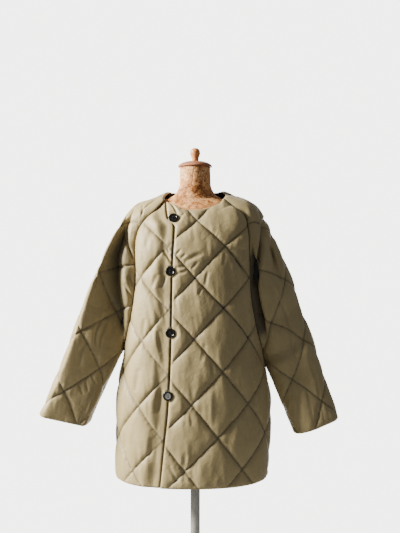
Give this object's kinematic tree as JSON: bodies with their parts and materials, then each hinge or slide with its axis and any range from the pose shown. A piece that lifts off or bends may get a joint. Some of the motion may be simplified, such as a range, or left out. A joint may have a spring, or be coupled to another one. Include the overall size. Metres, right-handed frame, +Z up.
{
  "type": "quilted jacket on a dress form",
  "caption": "Collarless quilted raglan jacket, padded in large diamonds and buttoned off centre, hanging open-sleeved on a limbless dress form with a round floor stand.",
  "frame": {"origin": "middle of the stand base's flat underside, on the floor", "axes": "+Z up along the pole, -Y to the jacket's front, +X to the viewer's right when facing the front"},
  "size_m": [0.8715, 0.3325, 1.5126],
  "materials": {
    "cloth": "smooth padded cloth with a soft sheen",
    "lining": "plain dark woven lining",
    "thread": "sewing thread in the cloth's colour",
    "button": "glossy, dark",
    "button_cord": "round elastic cord",
    "papier_mache": "aged, varnished and mottled",
    "cap_wood": "stained and varnished",
    "knob_wood": "varnished",
    "pole_steel": "satin",
    "base_paint": "satin dark paint"
  },
  "bodies": {
    "root": {"front_overlap": "cloth", "front_underlap": "cloth", "back": "cloth", "sleeve_left": "cloth", "sleeve_right": "cloth", "button_1": "button", "button_2": "button", "button_3": "button", "button_4": "button", "button_loop_1": "button_cord", "button_loop_2": "button_cord", "button_loop_3": "button_cord", "button_loop_4": "button_cord", "dress_form": "papier_mache", "neck_cap": "cap_wood", "cap_knob": "knob_wood", "pole": "pole_steel", "stand_base": "base_paint"}
  },
  "joints": []
}
